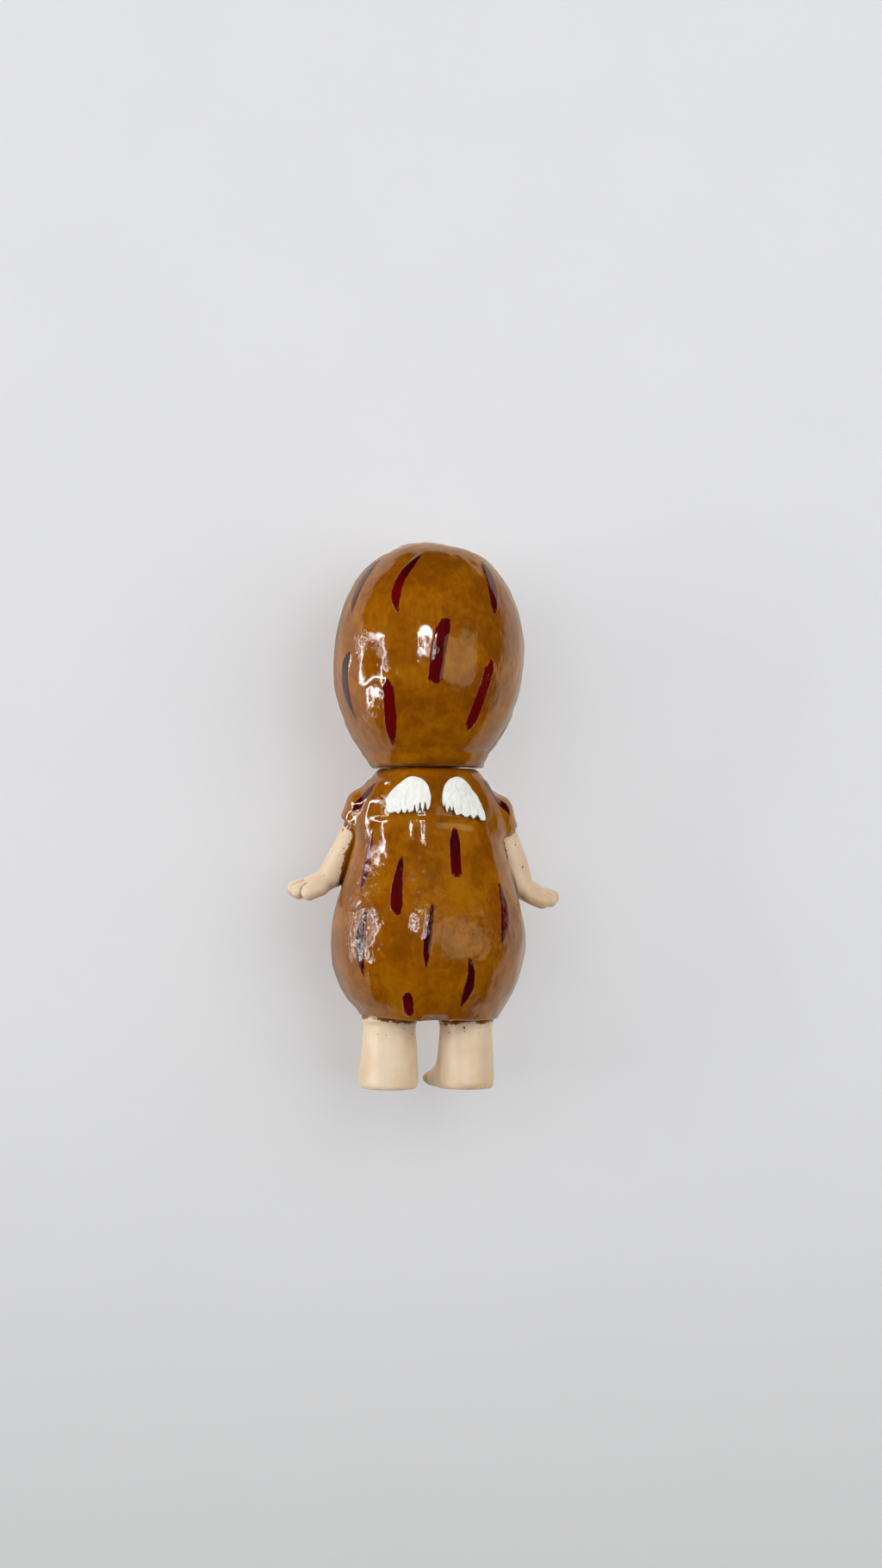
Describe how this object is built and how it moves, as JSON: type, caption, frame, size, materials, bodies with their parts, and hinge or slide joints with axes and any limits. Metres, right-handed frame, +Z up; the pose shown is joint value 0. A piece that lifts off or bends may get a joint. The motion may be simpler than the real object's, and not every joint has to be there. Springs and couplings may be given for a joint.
{
  "type": "vinyl art toy",
  "caption": "Small standing vinyl doll figure with an egg-shaped hood, a pear-shaped coat and small back wings; the head turns on a swivel plug.",
  "frame": {"origin": "on the floor between the feet, under the neck axis", "axes": "+Z up through the crown of the hood, the face looks along -Y, +X towards the figure's own left arm"},
  "size_m": [0.0404, 0.027, 0.08],
  "materials": {
    "hood_lacquer": "hand-brushed ochre-brown lacquer with burgundy strokes, high gloss",
    "coat_lacquer": "hand-brushed ochre-brown lacquer with burgundy strokes, high gloss",
    "head_vinyl": "skin-coloured soft vinyl, satin, painted face",
    "arm_vinyl": "skin-coloured soft vinyl, satin, paint flecks at the sleeves",
    "leg_vinyl": "skin-coloured soft vinyl, satin, paint flecks at the hem",
    "torso_vinyl": "skin-coloured soft vinyl, unpainted",
    "wing_paint": "thick white brushed paint over cast feathers",
    "plug_plastic": "hard natural plastic"
  },
  "bodies": {
    "figure": {"coat_shell": "coat_lacquer", "torso_shell": "torso_vinyl", "neck_plug": "plug_plastic", "left_arm": "arm_vinyl", "right_arm": "arm_vinyl", "left_leg": "leg_vinyl", "right_leg": "leg_vinyl", "left_wing": "wing_paint", "right_wing": "wing_paint"},
    "head": {"hood_shell": "hood_lacquer", "head_shell": "head_vinyl"}
  },
  "joints": [
    {"name": "head_turn", "type": "hinge", "parent": "figure", "child": "head", "pos_m": [0, 0, 0.0475], "axis": [0, 0, 1], "continuous": true}
  ]
}
